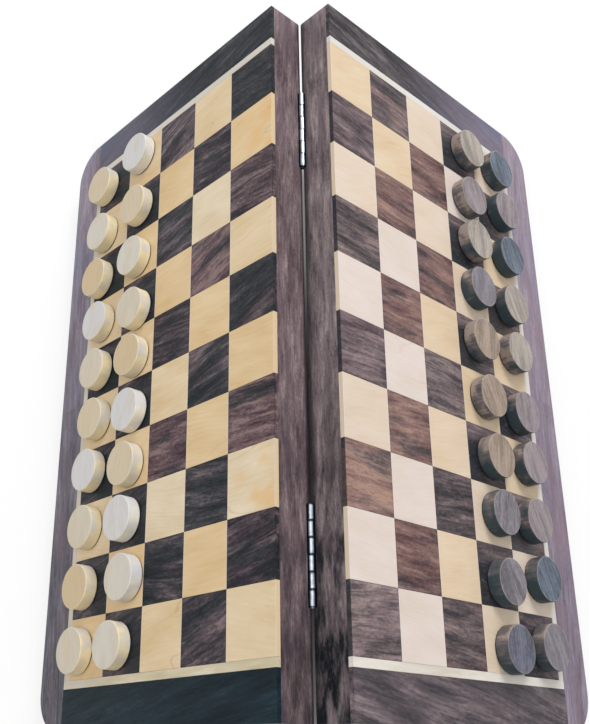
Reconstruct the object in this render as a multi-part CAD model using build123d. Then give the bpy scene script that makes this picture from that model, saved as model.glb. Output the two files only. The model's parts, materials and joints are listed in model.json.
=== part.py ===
from build123d import *
import math
import os

# Folding draughts board in two hinged halves, standing open like a tent, with forty magnetic men.
# Millimetres. X runs across the board, +Y to its far end, +Z up.
# The origin is on the floor, under the hinge line, at the middle of the board's length.
#
# Each half is first built lying flat beside the hinge axis, in its own coordinates:
# x outward from the hinge axis, y along it, z from the rim (down) to the playing surface (up).

# Driving dimensions

# playing surface
square = 26.0
columns = 5
rows = 10
line_width = 3.5
end_border = 18.0
side_border = 19.5
corner_radius = 17.0
veneer = 2.0
tile_gap = 0.08

# case
half_thickness = 17.5
rail_width = 9.0
rebate_width = 3.0
panel_thickness = 3.0
sheet_thickness = 0.5
panel_clearance = 0.1
glue_gap = 0.06
edge_radius = 0.8

# hinge
wall_offset = 0.5
closing_gap = 0.2
hinge_length = 38.0
hinge_from_end = 58.5
knuckles = 6
pin_diameter = 1.6
pin_clearance = 0.05
knuckle_gap = 0.15
leaf_thickness = 0.7
leaf_sink = 0.05
leaf_edge_margin = 1.0
leaf_clearance = 0.1
recess_clearance = 0.25

# hinge screws
screws_per_leaf = 3
screw_end_margin = 6.0
screw_head_diameter = 3.6
screw_shank_diameter = 2.0
screw_length = 7.0
screw_point = 1.5
screw_clearance = 0.05
screw_slot_width = 0.5
screw_slot_depth = 0.3

# men
man_diameter = 19.6
man_height = 6.3
man_edge_radius = 0.4
magnet_thickness = 0.5
magnet_inset = 0.5

# pose
slope = 45.0

# How far each man stands off the middle of its square, as (outward, towards the far end).
# One is the free room between two men on neighbouring squares. The men are set down by hand,
# a little off centre, and are listed from the far end to the near end.
light_inner_row = [(0.25, 0.7), (0.2, 0), (0.2, -0.4), (-0.1, -0.75), (-0.1, -0.45),
                   (-0.15, -0.55), (-0.05, -0.4), (0.05, -0.1), (-0.5, -0.05), (0.45, -0.2)]
light_outer_row = [(0.95, 0.1), (0.7, -0.3), (0.95, -0.25), (0.4, -0.15), (0.35, -0.05),
                   (0.15, 0), (0.45, 0.2), (0.45, 0.1), (0.6, 0), (0.75, -0.2)]
dark_inner_row = [(0.55, 0.25), (0.2, -0.1), (0.4, 0.3), (0.25, 0.4), (0, 0.25),
                  (0.2, 0.1), (0.4, -0.1), (0.35, 0.05), (0.25, -0.45), (0.45, -0.55)]
dark_outer_row = [(0.35, 0.25), (0.6, 0.6), (0.6, 0.65), (0.35, 0.45), (0.25, 0.6),
                  (0.25, -0.05), (0.5, 0.3), (0.3, 0.2), (0.6, 0.3), (0.55, -0.1)]

# Worked out from the driving dimensions

board_length = rows * square + 2 * (line_width + end_border)
half_width = columns * square + line_width + side_border
rim = closing_gap / 2
surface = rim + half_thickness
veneer_base = surface - veneer
panel_seat = veneer_base - sheet_thickness - panel_thickness

man_room = square - man_diameter

inner_wall = wall_offset
outer_wall = wall_offset + half_width
rail_inner_side = inner_wall + rail_width
rail_outer_side = outer_wall - rail_width

hinge_from_middle = board_length / 2 - hinge_from_end
pin_radius = pin_diameter / 2
bore_radius = pin_radius + pin_clearance
knuckle_radius = bore_radius + leaf_thickness
recess_radius = knuckle_radius + recess_clearance
knuckle_pitch = hinge_length / knuckles
leaf_low = rim + leaf_sink
leaf_high = leaf_low + leaf_thickness
leaf_start = knuckle_radius + recess_clearance
leaf_end = rail_inner_side - leaf_edge_margin
screw_line = (leaf_start + leaf_end) / 2

# The lowest point is on the rounded edge between rim and outer wall
slope_sine = math.sin(math.radians(slope))
slope_cosine = math.cos(math.radians(slope))
hinge_height = (outer_wall - edge_radius) * slope_sine - (rim + edge_radius) * slope_cosine + edge_radius

DARK_SIDE = 1
LIGHT_SIDE = -1


def block(x_from, x_to, y_from, y_to, z_from, z_to):
    """A box between two corners, in a half's own coordinates."""
    middle = ((x_from + x_to) / 2, (y_from + y_to) / 2, (z_from + z_to) / 2)
    return Pos(*middle) * Box(x_to - x_from, y_to - y_from, z_to - z_from)


def outline_prism(inset, z_from, z_to):
    """The half's outline, drawn in by inset on all four sides, with its two outer corners rounded."""
    x_low = inner_wall + inset
    x_high = outer_wall - inset
    y_high = board_length / 2 - inset
    radius = max(corner_radius - inset, edge_radius)
    prism = block(x_low, x_high, -y_high, y_high, z_from, z_to)
    corners = [edge for edge in prism.edges().filter_by(Axis.Z) if edge.center().X > x_high - radius]
    return fillet(corners, radius)


def half_body():
    """The whole half as one solid with softened outer edges, from which frame and strips are taken."""
    body = outline_prism(0, rim, surface)
    rims = body.faces().filter_by(Axis.Z).edges()
    softened = [edge for edge in rims if edge.center().X > inner_wall + edge_radius]
    return fillet(softened, edge_radius)


def tile_position(column, row):
    """The middle of a square, counted outward from the hinge and from the far end."""
    x = inner_wall + (column + 0.5) * square
    y = (rows / 2 - row - 0.5) * square
    return x, y


def hinge_centres():
    return [hinge_from_middle, -hinge_from_middle]


def screw_places(hinge_y):
    """The screws of one leaf, as y positions along it."""
    reach = hinge_length / 2 - screw_end_margin
    step = 2 * reach / (screws_per_leaf - 1)
    return [hinge_y - reach + step * index for index in range(screws_per_leaf)]


def rod(radius, x, z, y_from, y_to):
    """A round bar along the hinge line."""
    bar = Cylinder(radius, y_to - y_from, rotation=(90, 0, 0))
    return Pos(x, (y_from + y_to) / 2, z) * bar


# Frame and panel

def frame_rails(body):
    """Four rails, rebated for the panel: hinge side, outer side, and two ends glued between them."""
    half_length = board_length / 2
    end_inner = half_length - rail_width
    spans = [
        (inner_wall, rail_inner_side, -half_length, half_length),
        (rail_outer_side, outer_wall, -half_length, half_length),
        (rail_inner_side + glue_gap, rail_outer_side - glue_gap, end_inner, half_length),
        (rail_inner_side + glue_gap, rail_outer_side - glue_gap, -half_length, -end_inner),
    ]
    pocket = outline_prism(rail_width - rebate_width, panel_seat, veneer_base)
    rails = [(body & block(*span, rim, veneer_base)) - pocket for span in spans]
    for hinge_y in hinge_centres():
        rails[0] = rails[0] - hinge_seat(hinge_y)
    return rails


def hinge_seat(hinge_y):
    """What one hinge takes out of the rail: room for the barrel, the leaf and the screws."""
    low_y = hinge_y - hinge_length / 2 - leaf_clearance
    high_y = hinge_y + hinge_length / 2 + leaf_clearance
    seat = rod(recess_radius, 0, 0, low_y, high_y)
    seat += block(0, leaf_end + leaf_clearance, low_y, high_y, 0, leaf_high)
    for y in screw_places(hinge_y):
        pilot = Cylinder(screw_shank_diameter / 2 + screw_clearance, screw_length + screw_clearance,
                         align=(Align.CENTER, Align.CENTER, Align.MIN))
        seat += Pos(screw_line, y, leaf_low) * pilot
    return seat


def panel():
    """The board that closes the tray, let into the rebate."""
    return outline_prism(rail_width - rebate_width + panel_clearance, panel_seat, panel_seat + panel_thickness)


def steel_sheet():
    """The sheet on the panel that the men's magnets pull on."""
    return outline_prism(rail_width - rebate_width + panel_clearance, panel_seat + panel_thickness, veneer_base)


# Veneer layer

def squares(side, wanted):
    """All light or all dark squares of one half; at the hinge the two halves alternate."""
    shift = 0 if side == DARK_SIDE else 1
    size = square - tile_gap
    tiles = []
    for column in range(columns):
        for row in range(rows):
            colour = "light" if (column + row + shift) % 2 == 0 else "dark"
            if colour == wanted:
                x, y = tile_position(column, row)
                tiles.append(block(x - size / 2, x + size / 2, y - size / 2, y + size / 2, veneer_base, surface))
    return tiles


def inlay_lines():
    """The light line round three sides of the squares."""
    grid_x = inner_wall + columns * square
    grid_y = rows * square / 2
    gap = tile_gap / 2
    far = block(inner_wall, grid_x + line_width - gap, grid_y + gap, grid_y + line_width - gap,
                veneer_base, surface)
    near = far.mirror(Plane.XZ)
    side = block(grid_x + gap, grid_x + line_width - gap, -grid_y, grid_y, veneer_base, surface)
    return [far, near, side]


def border_strips(body):
    """The dark strips round the line: one along the outer side, two at the ends, butted against it."""
    strip_x = inner_wall + columns * square + line_width
    strip_y = rows * square / 2 + line_width
    half_length = board_length / 2
    gap = tile_gap / 2
    spans = [
        (strip_x + gap, outer_wall, -half_length, half_length),
        (inner_wall, strip_x - gap, strip_y + gap, half_length),
        (inner_wall, strip_x - gap, -half_length, -strip_y - gap),
    ]
    return [body & block(*span, veneer_base, surface) for span in spans]


# Hinges

def leaf(side, hinge_y):
    """One hinge leaf: a plate in the rim, with every second knuckle rolled from it."""
    low_y = hinge_y - hinge_length / 2
    plate = block(leaf_start, leaf_end, low_y, low_y + hinge_length, leaf_low, leaf_high)
    first = 0 if side == LIGHT_SIDE else 1
    web_start = (bore_radius + knuckle_radius) / 2
    for index in range(first, knuckles, 2):
        y_from = low_y + index * knuckle_pitch + knuckle_gap / 2
        y_to = low_y + (index + 1) * knuckle_pitch - knuckle_gap / 2
        barrel = rod(knuckle_radius, 0, 0, y_from, y_to) - rod(bore_radius, 0, 0, y_from, y_to)
        plate += barrel + block(web_start, leaf_start + leaf_thickness, y_from, y_to, leaf_low, leaf_high)
    for y in screw_places(hinge_y):
        plate -= Pos(screw_line, y, leaf_low) * screw_head(screw_clearance)
        plate -= Pos(screw_line, y, leaf_low) * Cylinder(screw_shank_diameter / 2 + screw_clearance,
                                                         4 * leaf_thickness)
    return plate


def screw_head(grown):
    """A countersunk head, widest at z = 0."""
    return Cone(screw_head_diameter / 2 + grown, screw_shank_diameter / 2 + grown, leaf_thickness,
                align=(Align.CENTER, Align.CENTER, Align.MIN))


def screw(y):
    """A slotted countersunk wood screw with a pointed end."""
    shank_length = screw_length - screw_point
    base = (Align.CENTER, Align.CENTER, Align.MIN)
    body = screw_head(0) + Cylinder(screw_shank_diameter / 2, shank_length, align=base)
    tip = Cone(screw_shank_diameter / 2, screw_shank_diameter / 20, screw_point, align=base)
    body += Pos(0, 0, shank_length) * tip
    body -= Box(screw_head_diameter * 2, screw_slot_width, 2 * screw_slot_depth)
    return Pos(screw_line, y, leaf_low) * body


def hinge_pin(hinge_y):
    return rod(pin_radius, 0, 0, hinge_y - hinge_length / 2, hinge_y + hinge_length / 2)


# Men

def man(column, row, shares):
    """One man: a wooden disc with a magnet disc under it, standing on the playing surface."""
    x, y = tile_position(column, row)
    x += shares[0] * man_room
    y += shares[1] * man_room
    base = (Align.CENTER, Align.CENTER, Align.MIN)
    magnet = Cylinder(man_diameter / 2 - magnet_inset, magnet_thickness, align=base)
    disc = Cylinder(man_diameter / 2, man_height - magnet_thickness, align=base)
    disc = fillet(disc.edges().filter_by(GeomType.CIRCLE), man_edge_radius)
    place = Pos(x, y, surface)
    return [place * magnet, place * Pos(0, 0, magnet_thickness) * disc]


# Placing and writing

def to_row(side, solid):
    """Takes a solid from its half's own coordinates to the standing board."""
    placed = solid if side == DARK_SIDE else solid.mirror(Plane.YZ)
    return Pos(0, 0, hinge_height) * Rot(0, side * slope, 0) * placed


def write(node, side, solids):
    placed = [to_row(side, solid) for solid in solids]
    shape = placed[0] if len(placed) == 1 else Compound(children=placed)
    export_step(shape, f"parts/{node}.step")


def write_half(name, side):
    body = half_body()
    write(f"{name}_half_frame_rails", side, frame_rails(body))
    write(f"{name}_half_panel", side, [panel()])
    write(f"{name}_half_steel_sheet", side, [steel_sheet()])
    write(f"{name}_half_light_squares", side, squares(side, "light"))
    write(f"{name}_half_dark_squares", side, squares(side, "dark"))
    write(f"{name}_half_inlay_lines", side, inlay_lines())
    write(f"{name}_half_border_strips", side, border_strips(body))
    write(f"{name}_half_hinge_leaves", side, [leaf(side, y) for y in hinge_centres()])
    write(f"{name}_half_hinge_screws", side, [screw(y) for hinge in hinge_centres() for y in screw_places(hinge)])


def write_men(name, side, inner_row, outer_row):
    """The two outermost columns, filled from the far end: first the inner one, then the outer one."""
    number = 0
    for column, shares in ((columns - 2, inner_row), (columns - 1, outer_row)):
        for row in range(rows):
            number += 1
            write(f"{name}_man_{number:02d}", side, man(column, row, shares[row % len(shares)]))


os.makedirs("parts", exist_ok=True)
write_half("light", LIGHT_SIDE)
write_half("dark", DARK_SIDE)
write("far_hinge_pin", LIGHT_SIDE, [hinge_pin(hinge_from_middle)])
write("near_hinge_pin", LIGHT_SIDE, [hinge_pin(-hinge_from_middle)])
write_men("light", LIGHT_SIDE, light_inner_row, light_outer_row)
write_men("dark", DARK_SIDE, dark_inner_row, dark_outer_row)
print(f"hinge height {hinge_height:.3f}, board length {board_length:.1f}, half width {half_width:.1f}")
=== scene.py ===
import json
import math
import random

import bpy
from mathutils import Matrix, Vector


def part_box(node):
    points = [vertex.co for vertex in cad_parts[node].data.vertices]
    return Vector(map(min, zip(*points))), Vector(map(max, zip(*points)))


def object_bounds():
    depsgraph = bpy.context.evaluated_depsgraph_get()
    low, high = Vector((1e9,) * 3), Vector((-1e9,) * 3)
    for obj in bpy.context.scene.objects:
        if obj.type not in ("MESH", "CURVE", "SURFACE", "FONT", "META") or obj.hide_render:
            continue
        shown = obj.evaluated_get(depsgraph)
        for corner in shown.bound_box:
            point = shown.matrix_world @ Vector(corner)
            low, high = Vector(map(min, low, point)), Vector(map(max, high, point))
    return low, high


# Finishes, floor, lamps and camera for a folding draughts board that stands open like a tent.
# The scene is in metres. The wood is drawn in millimetres, in the coordinates of the half that it is on:
# x outward from the hinge line, y along it to the far end, z up from the rim to the playing surface.

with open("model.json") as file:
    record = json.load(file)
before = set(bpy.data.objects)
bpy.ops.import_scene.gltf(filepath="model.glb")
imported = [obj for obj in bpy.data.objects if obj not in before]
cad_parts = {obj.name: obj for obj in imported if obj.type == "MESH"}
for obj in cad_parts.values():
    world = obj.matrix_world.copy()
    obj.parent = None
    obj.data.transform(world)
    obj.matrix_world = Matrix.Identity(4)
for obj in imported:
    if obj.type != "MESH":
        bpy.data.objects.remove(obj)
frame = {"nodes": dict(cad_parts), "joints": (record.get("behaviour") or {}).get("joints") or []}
cad_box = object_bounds()

DARK_SIDE = 1
LIGHT_SIDE = -1
SIDES = {"dark": DARK_SIDE, "light": LIGHT_SIDE}

# How many there are in a metre
millimetres = 1000.0

# How steep a half stands
slope = math.radians(45)

# The board, in millimetres
square = 26.0
columns = 5
rows = 10
inner_wall = 0.5
half_width = 153.0
line_width = 3.5
surface = 17.6
rail_width = 9.0
man_radius = 9.8
magnet_height = 0.5

# The hinges, in millimetres
hinge_middle = 93.0
hinge_length = 38.0
knuckles = 6
barrel_radius = 1.55

# How far the painted highlight along a barrel leans from the upright of its half
bright_lean = math.radians(38)

fold = next(joint for joint in frame["joints"] if joint["name"] == "board_fold")
hinge_height = fold["pos_m"][2] * millimetres

# A square's cell is its column and row, counted from the hinge and from the near end, and one layer for
# all. Cells nearer to each other than same_cell are one and the same.
cell_layer = 0.5
same_cell = 0.1

# How far in from a man's outer face its side's look starts and is full, and so the painted highlight on its
# edge, in millimetres
side_starts = 0.4
side_full = 0.1
rim_starts = 0.6
rim_full = 0.3

# How deep the grain and the scratches are, in metres
open_grain = 0.00005
rail_grain = 0.00006
panel_grain = 0.00004
man_grain = 0.00004
close_grain = 0.00003
scratches = 0.00001
hinge_scratches = 0.000003

# How much light the thin lacquer throws back
lacquer = 0.14

# The camera, fitted to the grid of squares
camera_place = (-0.0068087, -0.1656879, 0.4414545)
camera_turn = (20.81665, 2.88924, 0.15636)
camera_lens = 46.264
camera_sensor = 36.0
camera_shift = (0.06796, 0.07479)
camera_nearest = 0.01

# The light: two soft lamps, and what the sky adds all round
key_lamp = {"place": (0.6, 1.45, 1.3), "size": 0.8, "power": 27.0}
fill_lamp = {"place": (-0.3, -0.3, 1.8), "size": 1.4, "power": 13.0}
sky_light = 0.5

# The floor, in metres. It turns white between two distances past the board's box, on each side and at
# each end, and that white grows to full between two distances from the middle. The painted shadow under
# the light half fades out between two places across the board.
floor_size = 12.0
white_beside = (-0.016, 0.001)
white_past_end = (-0.01, 0.03)
white_far_off = (0.3, 1.2)
painted_shadow_end = (0.006, 0.04)


def tone(red, green, blue):
    """A colour as it looks on a screen, 0 to 255, as the linear colour that a shader takes."""
    def linear(value):
        share = value / 255
        return share / 12.92 if share <= 0.04045 else ((share + 0.055) / 1.055) ** 2.4
    return (linear(red), linear(green), linear(blue), 1.0)


def shaded(shade, share):
    """The same colour, darker."""
    red, green, blue, alpha = shade
    return (red * share, green * share, blue * share, alpha)


# Woods, each from its darkest streak to its palest
# The dark half's shades of the squares' woods are paler and cooler than the light half's: partly the woods'
# own tone, partly painted sheen
rosewood = {
    "light": [tone(30, 31, 38), tone(58, 50, 56), tone(87, 75, 80), tone(126, 111, 113)],
    "dark": [tone(60, 51, 57), tone(98, 83, 87), tone(130, 112, 114), tone(160, 143, 140)],
}
ebony = {
    "light": [tone(14, 25, 28), tone(29, 37, 42), tone(48, 50, 55), tone(88, 84, 89)],
    "dark": [tone(34, 36, 42), tone(60, 54, 58), tone(88, 78, 80), tone(126, 112, 108)],
}
ruddy = {
    "light": [tone(38, 30, 36), tone(72, 54, 60), tone(100, 78, 82), tone(134, 110, 108)],
    "dark": [tone(76, 54, 54), tone(110, 82, 79), tone(136, 106, 98), tone(162, 130, 114)],
}
straw_maple = {
    "light": [tone(206, 174, 124), tone(213, 184, 140), tone(218, 192, 151), tone(223, 200, 161)],
    "dark": [tone(201, 174, 142), tone(209, 186, 155), tone(213, 192, 164), tone(218, 199, 174)],
}
cream_maple = {
    "light": [tone(206, 184, 148), tone(216, 197, 165), tone(223, 207, 179), tone(228, 214, 190)],
    "dark": [tone(204, 187, 173), tone(211, 196, 185), tone(214, 201, 193), tone(218, 206, 201)],
}
rail_shades = {
    "light": [tone(74, 62, 66), tone(102, 87, 91), tone(122, 105, 108), tone(150, 134, 134)],
    "dark": [tone(84, 74, 78), tone(114, 102, 105), tone(135, 122, 124), tone(164, 150, 148)],
}
near_outer_shades = {
    "light": [tone(58, 55, 64), tone(86, 83, 92), tone(108, 105, 115), tone(136, 132, 140)],
    "dark": [tone(90, 80, 95), tone(114, 103, 118), tone(131, 120, 136), tone(152, 141, 154)],
}
far_outer_shades = {
    "light": [tone(104, 95, 110), tone(130, 120, 134), tone(149, 138, 152), tone(169, 158, 169)],
    "dark": [tone(116, 105, 123), tone(137, 124, 139), tone(153, 139, 151), tone(170, 156, 163)],
}
near_end_shades = {
    "light": [tone(4, 22, 30), tone(13, 34, 42), tone(19, 41, 50), tone(38, 54, 62)],
    "dark": [tone(58, 55, 60), tone(92, 81, 86), tone(116, 103, 107), tone(138, 124, 123)],
}
far_end_shades = {
    "light": [tone(20, 27, 32), tone(34, 38, 43), tone(48, 51, 57), tone(78, 76, 82)],
    "dark": [tone(34, 33, 37), tone(58, 53, 57), tone(80, 73, 77), tone(112, 101, 102)],
}
inlay_shades = {
    "light": [tone(182, 168, 136), tone(194, 181, 151), tone(204, 192, 164), tone(216, 207, 186)],
    "dark": [tone(198, 189, 176), tone(208, 201, 189), tone(215, 209, 199), tone(224, 219, 212)],
}
edge_shades = {"light": tone(212, 188, 146), "dark": tone(210, 192, 164)}
panel_shades = [tone(84, 56, 46), tone(112, 78, 62), tone(134, 98, 78), tone(156, 120, 96)]
pitch = tone(18, 24, 29)
amber = tone(222, 176, 112)
lilac = {"light": tone(112, 118, 144), "dark": tone(118, 116, 144)}
rosy = {"light": tone(102, 86, 94), "dark": tone(128, 105, 115)}

# From this column outward the dark squares get a painted shadow of the men, so these are darker
shaded_from = 3

# Squares that stand out, as (column from the hinge, row from the far end)
gloomy_squares = {
    "light": [(0, 0), (2, 2), (0, 4), (1, 5), (1, 7), (2, 8)],
    "dark": [(1, 0), (0, 3), (2, 5), (2, 7), (2, 9)],
}
ruddy_squares = {
    "light": [(1, 3), (0, 6), (2, 6)],
    "dark": [(2, 1), (1, 2), (2, 3), (1, 4), (1, 6), (0, 7), (1, 8)],
}
pale_squares = {
    "light": [(0, 7), (2, 7), (1, 2)],
    "dark": [(1, 3), (0, 4), (1, 5), (1, 7), (0, 8), (1, 9), (3, 1)],
}
amber_squares = {"light": [(0, 1), (0, 7)], "dark": []}


class Tree:
    """The nodes of one material, with a short call for each kind used here."""

    def __init__(self, name):
        self.material = bpy.data.materials.new(name)
        self.material.use_nodes = True
        self.nodes = self.material.node_tree.nodes
        self.links = self.material.node_tree.links
        self.nodes.clear()

    def feed(self, socket, value):
        if isinstance(value, bpy.types.NodeSocket):
            self.links.new(value, socket)
        else:
            socket.default_value = value

    def add(self, kind, settings=None, **values):
        """A node of that kind. Values name its inputs, with _ for a space."""
        node = self.nodes.new("ShaderNode" + kind)
        for name, value in (settings or {}).items():
            setattr(node, name, value)
        for name, value in values.items():
            self.feed(node.inputs[name.replace("_", " ")], value)
        return node

    def math(self, operation, *values):
        node = self.add("Math", {"operation": operation})
        for socket, value in zip(node.inputs, values):
            self.feed(socket, value)
        return node.outputs[0]

    def times(self, first, second):
        return self.math("MULTIPLY", first, second)

    def plus(self, first, second):
        return self.math("ADD", first, second)

    def vector(self, operation, *values):
        node = self.add("VectorMath", {"operation": operation})
        for socket, value in zip(node.inputs, values):
            self.feed(socket, value)
        return node.outputs["Value" if operation in ("LENGTH", "DISTANCE") else "Vector"]

    def split(self, vector):
        return self.add("SeparateXYZ", Vector=vector).outputs

    def joined(self, x, y, z):
        return self.add("CombineXYZ", X=x, Y=y, Z=z).outputs[0]

    def noise(self, place, detail=2.0, roughness=0.5):
        node = self.add("TexNoise", Vector=place, Scale=1.0, Detail=detail, Roughness=roughness)
        return node.outputs["Fac"]

    def chances(self, place):
        """Three random numbers that stay the same wherever place does."""
        return self.add("TexWhiteNoise", Vector=place).outputs["Color"]

    def rise(self, value, start, end, low=0.0, high=1.0):
        """Goes smoothly from low to high as value goes from start to end."""
        node = self.add("MapRange", {"interpolation_type": "SMOOTHSTEP"})
        for socket, number in zip(node.inputs, (value, start, end, low, high)):
            self.feed(socket, number)
        return node.outputs[0]

    def blend(self, share, first, second):
        node = self.add("Mix", {"data_type": "RGBA"})
        for index, value in ((0, share), (6, first), (7, second)):
            self.feed(node.inputs[index], value)
        return node.outputs[2]

    def ramp(self, share, shades, start, end):
        """Runs through the shades, evenly spaced from start to end."""
        node = self.add("ValToRGB", Fac=share)
        stops = node.color_ramp.elements
        while len(stops) < len(shades):
            stops.new(0.5)
        for index, shade in enumerate(shades):
            stops[index].position = start + (end - start) * index / (len(shades) - 1)
            stops[index].color = shade
        return node.outputs["Color"]

    def bump(self, height, depth):
        """A relief of that depth in metres, from a height of 0 to 1."""
        return self.add("Bump", Height=height, Distance=depth, Strength=1.0).outputs[0]

    def finish(self, colour, roughness, normal=None, **constants):
        shader = self.add("BsdfPrincipled", **constants)
        self.feed(shader.inputs["Base Color"], colour)
        self.feed(shader.inputs["Roughness"], roughness)
        if normal is not None:
            self.feed(shader.inputs["Normal"], normal)
        output = self.add("OutputMaterial")
        self.links.new(shader.outputs[0], output.inputs["Surface"])
        return self.material


# Places on a half

def place_on_half(tree, side):
    """Where a point lies on its half, in millimetres."""
    lift = hinge_height * math.sin(slope)
    mapping = tree.add("Mapping", Vector=tree.add("TexCoord").outputs["Object"])
    mapping.inputs["Location"].default_value = (lift, 0, -lift)
    mapping.inputs["Rotation"].default_value = (0, -slope, 0)
    mapping.inputs["Scale"].default_value = (side * millimetres, millimetres, millimetres)
    return mapping.outputs[0]


def turned(tree, place, angle):
    """Turns the grain about the half's own upright."""
    return tree.add("VectorRotate", {"rotation_type": "Z_AXIS"}, Vector=place, Angle=angle).outputs[0]


def drawn_out(tree, place, along, across):
    """Stretches what is drawn on place: one unit is that many millimetres along x, and across it."""
    return tree.vector("MULTIPLY", place, (1 / along, 1 / across, 1 / across))


def nudged(tree, place, amount):
    """Moves place across the grain by amount millimetres."""
    return tree.vector("ADD", place, tree.joined(0.0, amount, amount))


def seeded(tree, place, seed):
    """The same wood from another part of the plank."""
    return tree.vector("ADD", place, (seed * 37.0, seed * 91.0, seed * 53.0))


def tile_at(tree, place):
    """For a point among the squares: its square, and how far it is from the square's two kinds of edge."""
    x, y, z = tree.split(place)
    column = tree.math("DIVIDE", tree.math("SUBTRACT", x, inner_wall), square)
    row = tree.plus(tree.math("DIVIDE", y, square), rows / 2)
    cell = tree.joined(tree.math("FLOOR", column), tree.math("FLOOR", row), cell_layer)
    to_column_edge = tree.times(tree.math("PINGPONG", column, 0.5), square)
    to_row_edge = tree.times(tree.math("PINGPONG", row, 0.5), square)
    return cell, to_column_edge, to_row_edge


def one_of(tree, cell, wanted):
    """One on the wanted squares, and nothing elsewhere."""
    total = 0.0
    for column, row in wanted:
        away = tree.vector("DISTANCE", cell, (column, rows - 1 - row, cell_layer))
        total = tree.plus(tree.math("LESS_THAN", away, same_cell), total)
    return total


# Wood figure

def rosewood_figure(tree, place, length=1.0):
    """Dark open-grained wood with its grain along x: how pale each point is, and where its pores are."""
    sway = tree.noise(drawn_out(tree, place, 42 * length, 14), 2)
    swayed = nudged(tree, place, tree.times(sway, 6.0))
    broad = tree.noise(drawn_out(tree, swayed, 30 * length, 5), 2)
    streak = tree.noise(drawn_out(tree, swayed, 14 * length, 1.4), 4, 0.6)
    fibre = tree.noise(drawn_out(tree, swayed, 5 * length, 0.55), 3, 0.6)
    fleck = tree.noise(drawn_out(tree, swayed, 1.9 * length, 0.95), 2)
    pale = tree.math("MULTIPLY_ADD", broad, 0.36, tree.times(streak, 0.34))
    pale = tree.math("MULTIPLY_ADD", fibre, 0.15, pale)
    pale = tree.math("MULTIPLY_ADD", fleck, 0.15, pale)
    pores = tree.rise(tree.noise(drawn_out(tree, swayed, 3 * length, 0.3), 1), 0.62, 0.7)
    return pale, pores


def maple_figure(tree, place):
    """Pale close-grained wood with its grain along x: how pale each point is, and its hairlines."""
    sway = tree.noise(drawn_out(tree, place, 50, 22), 1)
    swayed = nudged(tree, place, tree.times(sway, 9.0))
    cloud = tree.noise(drawn_out(tree, swayed, 26, 11), 2)
    fibre = tree.noise(drawn_out(tree, swayed, 12, 1.1), 4, 0.6)
    pale = tree.math("MULTIPLY_ADD", cloud, 0.62, tree.times(fibre, 0.38))
    ring = tree.noise(drawn_out(tree, swayed, 70, 12), 0)
    off_ring = tree.math("ABSOLUTE", tree.math("SUBTRACT", ring, 0.46))
    hairline = tree.rise(off_ring, 0.0, 0.01, 1.0, 0.0)
    return pale, hairline


# Materials of the board

def wood_finish(tree, colour, pale, pores, depth):
    """A thin satin lacquer that follows the grain."""
    relief = tree.math("SUBTRACT", pale, tree.times(pores, 0.5))
    roughness = tree.rise(pale, 0.35, 0.65, 0.5, 0.4)
    return tree.finish(colour, roughness, tree.bump(relief, depth), Specular_IOR_Level=lacquer)


def square_grain(tree, cell, place, least_lean, most_lean):
    """Grain of its own for each square, and two more random numbers for it."""
    chances = tree.chances(cell)
    first, second, third = tree.split(chances)
    lean = tree.rise(second, 0.0, 1.0, least_lean, most_lean)
    plank = 400.0
    grain = tree.vector("ADD", place, tree.vector("MULTIPLY", chances, (plank, plank, plank)))
    return turned(tree, grain, lean), first, third


def painted_men_shadow(tree, place):
    """How much painted shadow of the men falls on a square: most on its hinge side and near part."""
    x, y, z = tree.split(place)
    outward = tree.math("FRACT", tree.math("DIVIDE", tree.math("SUBTRACT", x, inner_wall), square))
    farther = tree.math("FRACT", tree.math("DIVIDE", tree.plus(y, rows / 2 * square), square))
    in_shade = tree.math("GREATER_THAN", x, inner_wall + shaded_from * square)
    shadow_depth = tree.times(tree.rise(outward, 0.25, 0.85, 0.85, 0.2), tree.rise(farther, 0.6, 0.95, 1.0, 0.25))
    return tree.times(in_shade, shadow_depth)


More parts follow.
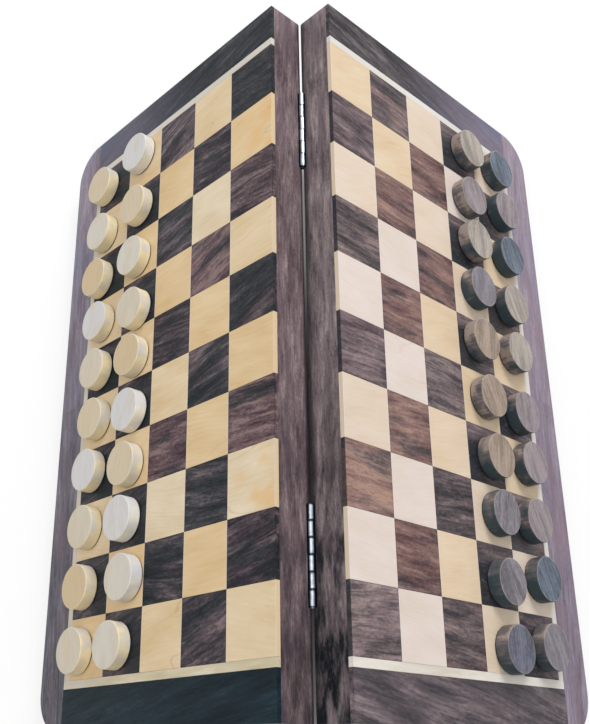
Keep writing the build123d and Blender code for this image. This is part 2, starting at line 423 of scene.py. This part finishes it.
def dark_squares(name, side):
    """Brown squares with some red and some black wood among them, and dark joints between them."""
    tree = Tree(f"{name}_half_dark_squares_wood")
    place = place_on_half(tree, side)
    cell, to_column_edge, to_row_edge = tile_at(tree, place)
    most_lean = 0.34 if side == LIGHT_SIDE else 0.14
    grain, first, third = square_grain(tree, cell, place, -0.08, most_lean)
    pale, pores = rosewood_figure(tree, grain)
    spread = 0.025 if side == LIGHT_SIDE else 0.045
    pale = tree.plus(pale, tree.rise(first, 0.0, 1.0, -spread, spread))
    is_ruddy = one_of(tree, cell, ruddy_squares[name])
    pale = tree.math("MULTIPLY_ADD", is_ruddy, 0.025, pale)
    start, end = (0.42, 0.6) if side == LIGHT_SIDE else (0.39, 0.63)
    brown = tree.ramp(pale, rosewood[name], start, end)
    red = tree.ramp(pale, ruddy[name], start, end)
    black = tree.ramp(pale, ebony[name], 0.43, 0.62)
    reddish = tree.plus(is_ruddy, tree.rise(third, 0.7, 1.0, 0.0, 0.5))
    colour = tree.blend(tree.math("MINIMUM", reddish, 0.9), brown, red)
    heart = tree.noise(drawn_out(tree, grain, 30, 9), 2)
    heart_share = tree.rise(heart, 0.5, 0.62, 0.0, 0.75)
    gloomy = tree.times(one_of(tree, cell, gloomy_squares[name]), tree.rise(heart, 0.36, 0.5, 0.3, 0.85))
    colour = tree.blend(tree.math("MAXIMUM", heart_share, gloomy), colour, black)
    # Painted shadow of the men, on the dark squares from the shaded_from column outward
    colour = tree.blend(painted_men_shadow(tree, place), colour, ebony["light"][1])
    colour = tree.blend(tree.times(pores, 0.45), colour, ebony[name][0])
    speck = tree.rise(tree.noise(drawn_out(tree, grain, 2.2, 0.8), 1), 0.62, 0.74, 0.0, 0.35)
    colour = tree.blend(speck, colour, rosewood[name][2])
    z = tree.split(place)[2]
    edge = tree.math("MINIMUM", to_column_edge, to_row_edge)
    # The joints are the wood's own dark; the side faces below the top are darker too, far more on the dark
    # half: painted shade
    below_face = 0.15 if side == LIGHT_SIDE else 0.85
    joint_share = tree.rise(z, surface - 0.3, surface - 0.1, below_face, 0.6)
    joint = tree.times(tree.rise(edge, 0.0, 0.3, 1.0, 0.0), joint_share)
    colour = tree.blend(joint, colour, ebony["light"][1])
    return wood_finish(tree, colour, pale, pores, open_grain)


def light_squares(name, side):
    """Squares from straw to cream with a few hairlines, and an amber stain on some by the hinge."""
    tree = Tree(f"{name}_half_light_squares_wood")
    place = place_on_half(tree, side)
    cell, to_column_edge = tile_at(tree, place)[:2]
    grain, first, third = square_grain(tree, cell, place, -0.2, 0.2)
    pale, hairline = maple_figure(tree, grain)
    creamy = tree.plus(one_of(tree, cell, pale_squares[name]), tree.rise(first, 0.2, 1.0, 0.0, 0.6))
    straw = tree.ramp(pale, straw_maple[name], 0.28, 0.72)
    cream = tree.ramp(pale, cream_maple[name], 0.28, 0.72)
    colour = tree.blend(tree.math("MINIMUM", creamy, 1.0), straw, cream)
    x, y, z = tree.split(place)
    cloud = tree.rise(tree.noise(drawn_out(tree, grain, 16, 9), 2), 0.36, 0.64, 0.0, 0.6)
    near_hinge = tree.rise(x, inner_wall + 8, inner_wall + square, 1.0, 0.1)
    stained = tree.times(one_of(tree, cell, amber_squares[name]), tree.times(cloud, near_hinge))
    colour = tree.blend(stained, colour, amber)
    most_lined = 0.3 if side == LIGHT_SIDE else 0.1
    lined = tree.times(hairline, tree.rise(third, 0.4, 0.9, 0.0, most_lined))
    colour = tree.blend(lined, colour, tone(164, 130, 86))
    # Painted highlight: a pale line along the two edges of each square that run along the hinge
    colour = tree.blend(tree.rise(to_column_edge, 0.15, 0.6, 0.6, 0.0), colour, cream_maple["dark"][3])
    edge_face = tree.rise(z, surface - 0.2, surface - 0.1, 0.85, 0.0)
    colour = tree.blend(edge_face, colour, edge_shades[name])
    return wood_finish(tree, colour, pale, 0.0, close_grain)


def inlay(name, side):
    """The line's grain follows the line."""
    tree = Tree(f"{name}_half_inlay_wood")
    place = place_on_half(tree, side)
    x, y, z = tree.split(place)
    beyond = tree.math("SUBTRACT", tree.math("ABSOLUTE", y), rows / 2 * square)
    along_hinge = tree.math("LESS_THAN", beyond, 0.0)
    grain = turned(tree, place, tree.times(along_hinge, math.pi / 2))
    pale = maple_figure(tree, seeded(tree, grain, 3 + side))[0]
    colour = tree.ramp(pale, inlay_shades[name], 0.32, 0.68)
    whiter = tree.math("MAXIMUM", tree.rise(x, 80.0, 132.0, 0.0, 0.5), tree.rise(y, 60.0, 131.0, 0.0, 0.7))
    colour = tree.blend(whiter, colour, tone(208, 204, 200))
    return wood_finish(tree, colour, pale, 0.0, close_grain)


def border(name, side):
    """Two end strips with their grain across the board, and the outer strip with its grain along it."""
    tree = Tree(f"{name}_half_border_wood")
    place = place_on_half(tree, side)
    x, y, z = tree.split(place)
    strip_start = inner_wall + columns * square + line_width
    is_outer = tree.math("GREATER_THAN", x, strip_start)
    is_far = tree.math("GREATER_THAN", y, 0.0)
    offset = tree.vector("MULTIPLY", tree.joined(is_outer, is_far, is_far), (210.0, 330.0, 77.0))
    lean = tree.math("MULTIPLY_ADD", is_outer, math.pi / 2 - 0.12, 0.2)
    grain = tree.vector("ADD", turned(tree, place, lean), offset)
    pale, pores = rosewood_figure(tree, seeded(tree, grain, 7 + side), 1.3)
    patch = tree.rise(tree.noise(drawn_out(tree, grain, 60, 20), 2), 0.46, 0.62, 0.0, 0.45)
    warm = tree.rise(tree.noise(drawn_out(tree, grain, 34, 8), 3), 0.48, 0.64, 0.0, 0.6)
    near_outer = tree.ramp(pale, near_outer_shades[name], 0.38, 0.64)
    far_outer = tree.ramp(pale, far_outer_shades[name], 0.36, 0.66)
    far_outer = tree.blend(patch, far_outer, lilac[name])
    # The outer strip is darker towards the near end: painted shade
    outer = tree.blend(tree.rise(y, -110.0, 110.0), near_outer, far_outer)
    outer = tree.blend(warm, outer, rosy[name])
    near_end = tree.ramp(pale, near_end_shades[name], 0.42, 0.62)
    near_end = tree.blend(tree.times(patch, 1.2), near_end, shaded(near_end_shades[name][0], 0.8))
    far_end = tree.ramp(pale, far_end_shades[name], 0.43, 0.6)
    share = 0.44 if side == LIGHT_SIDE else 0.6
    corner = tree.ramp(pale, [shaded(shade, share) for shade in far_outer_shades[name]], 0.36, 0.66)
    corner = tree.blend(tree.plus(patch, 0.35), corner, shaded(lilac[name], share * 1.3))
    far_end = tree.blend(tree.rise(x, 40.0, 125.0), far_end, corner)
    end = tree.blend(is_far, near_end, far_end)
    colour = tree.blend(is_outer, end, outer)
    colour = tree.blend(tree.times(pores, 0.3), colour, pitch)
    return wood_finish(tree, colour, pale, pores, open_grain)


def rails(name, side):
    """The two long rails have their grain along the hinge, the two ends across it.

    The rail at the hinge has a shorter figure than the other three.
    """
    tree = Tree(f"{name}_half_rail_wood")
    place = place_on_half(tree, side)
    x, y, z = tree.split(place)
    past_hinge_rail = tree.math("GREATER_THAN", x, inner_wall + rail_width)
    before_outer_rail = tree.math("LESS_THAN", x, inner_wall + half_width - rail_width)
    is_end = tree.times(past_hinge_rail, before_outer_rail)
    is_outer = tree.math("SUBTRACT", 1.0, before_outer_rail)
    quarter = tree.times(tree.math("SUBTRACT", 1.0, is_end), math.pi / 2)
    offset = tree.vector("MULTIPLY", tree.joined(is_outer, is_end, is_end), (240.0, 130.0, 60.0))
    scale = tree.joined(tree.math("MULTIPLY_ADD", past_hinge_rail, -0.65, 1.0), 1.0, 1.0)
    grain = tree.vector("MULTIPLY", tree.vector("ADD", turned(tree, place, quarter), offset), scale)
    finer = tree.vector("MULTIPLY", grain, (1.4, 1.4, 1.4))
    pale, pores = rosewood_figure(tree, seeded(tree, finer, side), 0.9)
    colour = tree.ramp(pale, rail_shades[name], 0.4, 0.6)
    rose = tree.rise(tree.noise(drawn_out(tree, grain, 26, 4), 3), 0.48, 0.62, 0.0, 0.5)
    colour = tree.blend(rose, colour, rosy["light"])
    # The dark bands are the wood's own figure; their darkening towards the near end, most on the dark half,
    # is painted shade
    deepest = 0.65 if side == LIGHT_SIDE else 1.0
    band = tree.noise(drawn_out(tree, grain, 24, 7), 4, 0.6)
    heart = tree.times(tree.rise(y, -110.0, -10.0, deepest, 0.05), tree.rise(band, 0.4, 0.6, 1.0, 0.1))
    colour = tree.blend(heart, colour, pitch)
    fleck = tree.rise(tree.noise(drawn_out(tree, grain, 2.2, 0.8), 1), 0.6, 0.72, 0.0, 0.12)
    colour = tree.blend(fleck, colour, rail_shades[name][3])
    # Painted shade low on the hinge rail's wall, in the gap along the hinge, reaching higher on the dark
    # half
    gap_shade_height = 1.6 if side == LIGHT_SIDE else 4.5
    painted_gap_shade = tree.times(tree.rise(z, 0.5, gap_shade_height, 0.8, 0.0), tree.rise(x, 2.0, 3.0, 1.0, 0.0))
    colour = tree.blend(painted_gap_shade, colour, pitch)
    colour = tree.blend(tree.times(pores, 0.45), colour, rail_shades[name][0])
    return wood_finish(tree, colour, pale, pores, rail_grain)


def panel(name, side):
    """Plain brown wood with long figure along the hinge, seen from below."""
    tree = Tree(f"{name}_half_panel_wood")
    place = place_on_half(tree, side)
    pale, pores = rosewood_figure(tree, seeded(tree, turned(tree, place, math.pi / 2), 12 + side), 2.0)
    colour = tree.ramp(pale, panel_shades, 0.36, 0.64)
    colour = tree.blend(tree.times(pores, 0.3), colour, panel_shades[0])
    return wood_finish(tree, colour, pale, pores, panel_grain)


def plating(tree, place, shade, tarnished):
    """The colour with a slightly uneven tarnish, and the height of fine scratches along the hinge."""
    scratch = tree.noise(drawn_out(tree, turned(tree, place, math.pi / 2), 9, 0.12), 3, 0.6)
    tarnish = tree.noise(drawn_out(tree, place, 2.5, 2.5), 3)
    colour = tree.blend(tree.rise(tarnish, 0.42, 0.66, 0.0, 0.6), shade, tarnished)
    return colour, scratch


def steel(name, side, shade, roughness):
    """Plated steel for the sheets, the screws and the pins."""
    tree = Tree(name)
    colour, scratch = plating(tree, place_on_half(tree, side), shade, tone(96, 108, 112))
    shine = tree.rise(scratch, 0.3, 0.7, roughness, roughness + 0.14)
    return tree.finish(colour, shine, tree.bump(scratch, scratches), Metallic=1.0)


def painted_barrel_shade(tree, place):
    """How much painted shade the barrel gets: none along its top, which is a painted highlight, most on its
    flanks and at its seams.
    """
    x, y, z = tree.split(place)
    from_pin = tree.vector("LENGTH", tree.joined(x, 0.0, z))
    on_barrel = tree.math("LESS_THAN", from_pin, barrel_radius + 0.1)
    up = tree.math("SUBTRACT", tree.times(z, math.cos(bright_lean)), tree.times(x, math.sin(bright_lean)))
    flank_shade = tree.rise(up, 0.8 * barrel_radius, 0.95 * barrel_radius, 0.92, 0.0)
    knuckle = hinge_length / knuckles
    from_start = tree.math("SUBTRACT", tree.math("ABSOLUTE", y), hinge_middle - hinge_length / 2)
    to_seam = tree.times(tree.math("PINGPONG", tree.math("DIVIDE", from_start, knuckle), 0.5), knuckle)
    seam_shade = tree.times(tree.rise(to_seam, 0.25, 0.8, 1.0, 0.0), tree.rise(y, -50.0, 50.0, 0.95, 0.5))
    return tree.times(on_barrel, tree.math("MAXIMUM", flank_shade, seam_shade))


def hinge_steel(name, side):
    """Plated leaves, with a painted highlight along the top of the barrel and painted shade on its flanks
    and seams.
    """
    tree = Tree(f"{name}_half_leaf_steel")
    place = place_on_half(tree, side)
    colour, scratch = plating(tree, place, tone(178, 186, 198), tone(126, 138, 148))
    # Painted shade on the barrel's flanks and at its seams, leaving the painted highlight along its top
    colour = tree.blend(painted_barrel_shade(tree, place), colour, tone(28, 42, 47))
    shine = tree.rise(scratch, 0.3, 0.7, 0.26, 0.36)
    return tree.finish(colour, shine, tree.bump(scratch, hinge_scratches), Metallic=1.0)


# Materials of the men

light_tops = {
    "white": tone(207, 205, 204),
    "cream": tone(207, 201, 189),
    "ivory": tone(205, 195, 177),
    "straw": tone(206, 191, 165),
    "gold": tone(203, 182, 148),
}
dark_tops = {
    "ash": tone(172, 163, 154),
    "umber": tone(163, 145, 130),
    "mauve": tone(149, 138, 142),
    "slate": tone(136, 130, 138),
    "dusk": tone(106, 108, 124),
    "teal": tone(103, 114, 130),
}
light_sides = [tone(230, 214, 176), tone(222, 208, 174), tone(211, 201, 179), tone(203, 198, 192)]
white_sides = [tone(226, 220, 204), tone(216, 212, 202), tone(208, 205, 203), tone(205, 204, 208)]
dark_sides = [tone(58, 70, 75), tone(82, 84, 87), tone(104, 96, 97), tone(146, 133, 126)]
light_inner = ["white", "straw", "cream", "ivory", "gold", "white", "straw", "white", "cream", "cream"]
light_outer = ["straw", "cream", "gold", "white", "ivory", "straw", "white", "ivory", "gold", "ivory"]
dark_inner = ["ash", "mauve", "ash", "slate", "umber", "umber", "umber", "slate", "slate", "dusk"]
dark_outer = ["teal", "mauve", "teal", "ash", "ash", "mauve", "mauve", "mauve", "teal", "slate"]

# Dark men whose tops have deeper streaks, by number
streaky = (8, 9, 10, 11, 13, 19)

# Men whose sides stand out, by number
white_sided = (1, 6, 8, 9)
brown_sided = (1, 2, 3, 5, 6, 15)
black_sided = (4, 8, 9, 12, 13, 16, 19)


class Man:
    """Where a point lies on its man, with the grain along the board."""

    def __init__(self, node, side, lean, seed):
        self.tree = tree = Tree(f"{node}_wood")
        place = place_on_half(tree, side)
        low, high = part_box(node)
        middle = (low + high) / 2 * millimetres
        outward = side * middle.x * math.cos(slope) - (middle.z - hinge_height) * math.sin(slope)
        centred = tree.vector("SUBTRACT", place, (outward, middle.y, surface))
        x, y, self.height = tree.split(centred)
        self.radius = tree.vector("LENGTH", tree.joined(x, y, 0.0))
        self.painted_light_towards_far = tree.times(y, 1 / man_radius)
        self.place = seeded(tree, centred, seed)
        self.grain = turned(tree, self.place, math.pi / 2 + lean)

    def side_tone(self, shades, lined, painted_light_swing, paler, start, end):
        """The side shows fine lines along the man's axis, and is paler towards the far end and darker
        towards the near end: painted light and shade.
        """
        tree = self.tree
        mottle = tree.noise(drawn_out(tree, self.place, 7, 7), 2)
        lines = tree.noise(tree.vector("MULTIPLY", self.place, (0.9, 0.9, 0.06)), 2)
        value = tree.math("MULTIPLY_ADD", mottle, 1.0 - lined, tree.times(lines, lined))
        # Painted light and shade: the side is paler towards the far end, darker towards the near end
        value = tree.math("MULTIPLY_ADD", self.painted_light_towards_far, painted_light_swing, value)
        return tree.ramp(tree.plus(value, paler), shades, start, end)

    def finish(self, face, sides, rim_colour, rim_strength, pale, mark):
        """Puts top and side together, with a painted highlight on the edge between them and the dark magnet
        below.
        """
        tree = self.tree
        on_side = tree.rise(self.radius, man_radius - side_starts, man_radius - side_full)
        colour = tree.blend(on_side, face, sides)
        # Painted highlight on the edge of the top, strongest on the dark men
        painted_rim = tree.rise(self.radius, man_radius - rim_starts, man_radius - rim_full, 0.0, rim_strength)
        on_edge = tree.times(painted_rim, tree.math("SUBTRACT", 1.0, on_side))
        colour = tree.blend(on_edge, colour, rim_colour)
        is_magnet = tree.math("LESS_THAN", self.height, magnet_height)
        colour = tree.blend(is_magnet, colour, tone(40, 42, 42))
        return wood_finish(tree, colour, pale, mark, man_grain)


def light_man(number, top, draw):
    """Faint straight grain on top, smooth sides from near white towards the far end to yellow towards the
    near end, as painted light and shade.
    """
    man = Man(f"light_man_{number:02d}", LIGHT_SIDE, draw.uniform(-0.3, 0.3), draw.uniform(0, 30))
    tree = man.tree
    pale = maple_figure(tree, man.grain)[0]
    warm = tree.rise(tree.noise(drawn_out(tree, man.grain, 14, 6), 2), 0.42, 0.66, 0.0, 0.4)
    face = tree.blend(warm, top, light_tops["gold"])
    fibre = tree.noise(drawn_out(tree, man.grain, 14, 1.2), 4, 0.6)
    face = tree.blend(tree.rise(fibre, 0.4, 0.66, 0.0, 0.45), face, shaded(top, 0.86))
    shades = white_sides if number in white_sided else light_sides
    sides = man.side_tone(shades, 0.1, 0.12, 0.0, 0.36, 0.66)
    return man.finish(face, sides, light_tops["cream"], 0.15, pale, 0.0)


def dark_man(number, top, draw):
    """Close dark streaks on top, sides that turn from brown towards the far end to blue-black towards the
    near end, as painted light and shade.
    """
    man = Man(f"dark_man_{number:02d}", DARK_SIDE, draw.uniform(-0.5, 0.2), draw.uniform(0, 30))
    tree = man.tree
    pale, mark = rosewood_figure(tree, man.grain)
    deepest = 0.25 if number in streaky else 0.45
    face = tree.blend(tree.rise(pale, 0.4, 0.6, 0.8, 0.0), top, shaded(top, deepest))
    face = tree.blend(tree.times(mark, 0.3), face, tone(180, 170, 160))
    paler = 0.1 if number in brown_sided else -0.08 if number in black_sided else -0.01
    sides = man.side_tone(dark_sides, 0.25, 0.13, paler, 0.38, 0.62)
    return man.finish(face, sides, tone(176, 168, 160), 0.5, pale, mark)


# Putting the materials on

def dress(node, material):
    piece = frame["nodes"][node]
    piece.data.materials.clear()
    piece.data.materials.append(material)
    for face in piece.data.polygons:
        face.material_index = 0


def dress_half(name, side):
    half = f"{name}_half"
    dress(f"{half}_dark_squares", dark_squares(name, side))
    dress(f"{half}_light_squares", light_squares(name, side))
    dress(f"{half}_inlay_lines", inlay(name, side))
    dress(f"{half}_border_strips", border(name, side))
    dress(f"{half}_frame_rails", rails(name, side))
    dress(f"{half}_panel", panel(name, side))
    dress(f"{half}_steel_sheet", steel(f"{half}_sheet_steel", side, tone(176, 178, 180), 0.4))
    dress(f"{half}_hinge_leaves", hinge_steel(name, side))
    dress(f"{half}_hinge_screws", steel(f"{half}_screw_steel", side, tone(196, 198, 196), 0.2))


for name, side in SIDES.items():
    dress_half(name, side)
pin_steel = steel("pin_steel", LIGHT_SIDE, tone(190, 190, 186), 0.28)
dress("far_hinge_pin", pin_steel)
dress("near_hinge_pin", pin_steel)
draw = random.Random(11)
for number, top in enumerate(light_inner + light_outer, start=1):
    dress(f"light_man_{number:02d}", light_man(number, light_tops[top], draw))
for number, top in enumerate(dark_inner + dark_outer, start=1):
    dress(f"dark_man_{number:02d}", dark_man(number, dark_tops[top], draw))


# Floor, light and camera

def floor():
    """A pale floor, white where it is seen past the board, with a painted shadow under the light half."""
    bpy.ops.mesh.primitive_plane_add(size=floor_size, location=(0, 0, 0))
    plane = bpy.context.object
    plane.name = "floor"
    tree = Tree("floor_white")
    rays = tree.add("LightPath").outputs
    seen = tree.math("MAXIMUM", rays["Is Camera Ray"], rays["Is Glossy Ray"])
    seen = tree.math("MAXIMUM", seen, rays["Is Transmission Ray"])
    high = cad_box[1]
    x, y, z = tree.split(tree.add("TexCoord").outputs["Object"])
    start, end = white_beside
    beside = tree.rise(tree.math("ABSOLUTE", x), high.x + start, high.x + end)
    start, end = white_past_end
    past_end = tree.rise(tree.math("ABSOLUTE", y), high.y + start, high.y + end)
    outside = tree.math("MAXIMUM", beside, past_end)
    # Painted shadow on the floor under the light half
    start, end = painted_shadow_end
    painted_floor_shadow = tree.times(tree.math("SUBTRACT", 1.0, outside), tree.rise(x, start, end, 1.0, 0.0))
    shade = tree.blend(painted_floor_shadow, tone(238, 238, 238), tone(160, 160, 160))
    paper = tree.add("BsdfDiffuse", Color=shade).outputs[0]
    white = tree.add("Emission", Color=(1, 1, 1, 1), Strength=1.0).outputs[0]
    start, end = white_far_off
    farther_off = tree.rise(tree.vector("LENGTH", tree.joined(x, y, 0.0)), start, end, 0.75, 1.0)
    mixed = tree.add("MixShader")
    tree.feed(mixed.inputs[0], tree.times(seen, tree.times(outside, farther_off)))
    tree.feed(mixed.inputs[1], paper)
    tree.feed(mixed.inputs[2], white)
    tree.links.new(mixed.outputs[0], tree.add("OutputMaterial").inputs["Surface"])
    plane.data.materials.append(tree.material)


def sky():
    """Even white light from all round, and pure white where camera or reflection sees past the floor."""
    world = bpy.data.worlds.new("studio")
    bpy.context.scene.world = world
    world.use_nodes = True
    nodes = world.node_tree.nodes
    links = world.node_tree.links
    background = nodes["Background"]
    background.inputs["Color"].default_value = (1, 1, 1, 1)
    rays = nodes.new("ShaderNodeLightPath").outputs
    both = nodes.new("ShaderNodeMath")
    both.operation = "MAXIMUM"
    links.new(rays["Is Camera Ray"], both.inputs[0])
    links.new(rays["Is Glossy Ray"], both.inputs[1])
    strength = nodes.new("ShaderNodeMapRange")
    strength.inputs["To Min"].default_value = sky_light
    strength.inputs["To Max"].default_value = 1.0
    links.new(both.outputs[0], strength.inputs["Value"])
    links.new(strength.outputs[0], background.inputs["Strength"])


def softbox(name, place, size, power):
    lamp = bpy.data.lights.new(name, "AREA")
    lamp.shape = "SQUARE"
    lamp.size = size
    lamp.energy = power
    holder = bpy.data.objects.new(name, lamp)
    bpy.context.scene.collection.objects.link(holder)
    holder.location = place
    aim = -holder.location
    holder.rotation_euler = aim.to_track_quat("-Z", "Y").to_euler()


def camera():
    data = bpy.data.cameras.new("camera")
    data.lens = camera_lens
    data.sensor_width = camera_sensor
    data.shift_x, data.shift_y = camera_shift
    data.clip_start = camera_nearest
    holder = bpy.data.objects.new("camera", data)
    bpy.context.scene.collection.objects.link(holder)
    holder.location = camera_place
    holder.rotation_euler = [math.radians(angle) for angle in camera_turn]
    bpy.context.scene.camera = holder


floor()
sky()
softbox("key", **key_lamp)
softbox("fill", **fill_lamp)
camera()
bpy.context.scene.view_settings.view_transform = "Standard"
